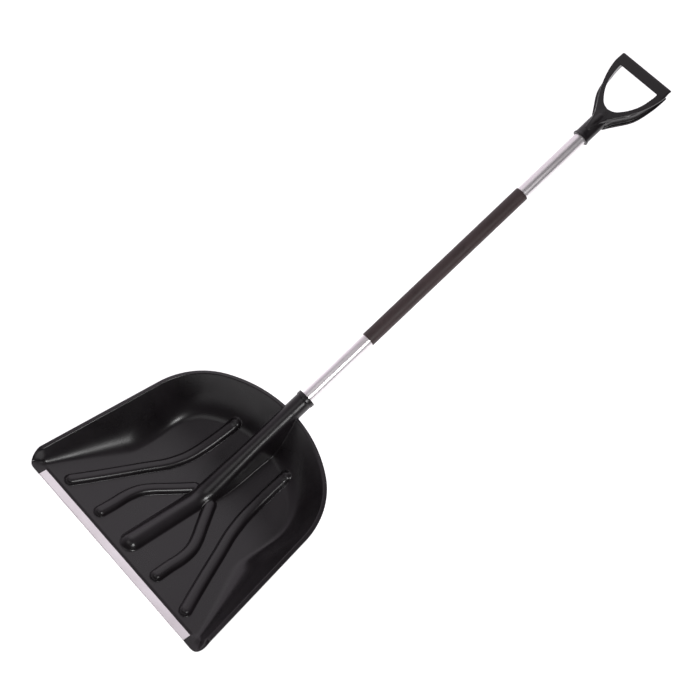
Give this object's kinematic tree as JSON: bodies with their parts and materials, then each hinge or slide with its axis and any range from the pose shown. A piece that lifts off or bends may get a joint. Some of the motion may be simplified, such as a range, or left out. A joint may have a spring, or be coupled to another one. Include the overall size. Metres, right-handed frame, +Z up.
{
  "type": "grain scoop shovel",
  "caption": "Wide moulded scoop blade with raised ribs and a folded metal edge strip, on a straight tube shaft with a mid grip sleeve and a D-handle.",
  "frame": {"origin": "on the flat underside of the blade floor, in the symmetry plane, 25 mm behind the front edge", "axes": "+X across the blade to the right seen from the handle end, +Y from the front edge towards the handle, +Z up, square to the blade floor"},
  "size_m": [0.4738, 1.1799, 0.6555],
  "materials": {
    "moulded_plastic": "semi-gloss moulded polypropylene, black",
    "grip_plastic": "satin black grip sleeve",
    "aluminium": "satin anodised aluminium",
    "zinc_steel": "zinc plated"
  },
  "bodies": {
    "root": {"scoop_blade": "moulded_plastic", "edge_strip": "aluminium", "shaft_tube": "aluminium", "mid_grip_sleeve": "grip_plastic", "d_handle": "moulded_plastic", "blade_screw": "zinc_steel", "handle_screw": "zinc_steel"}
  },
  "joints": []
}
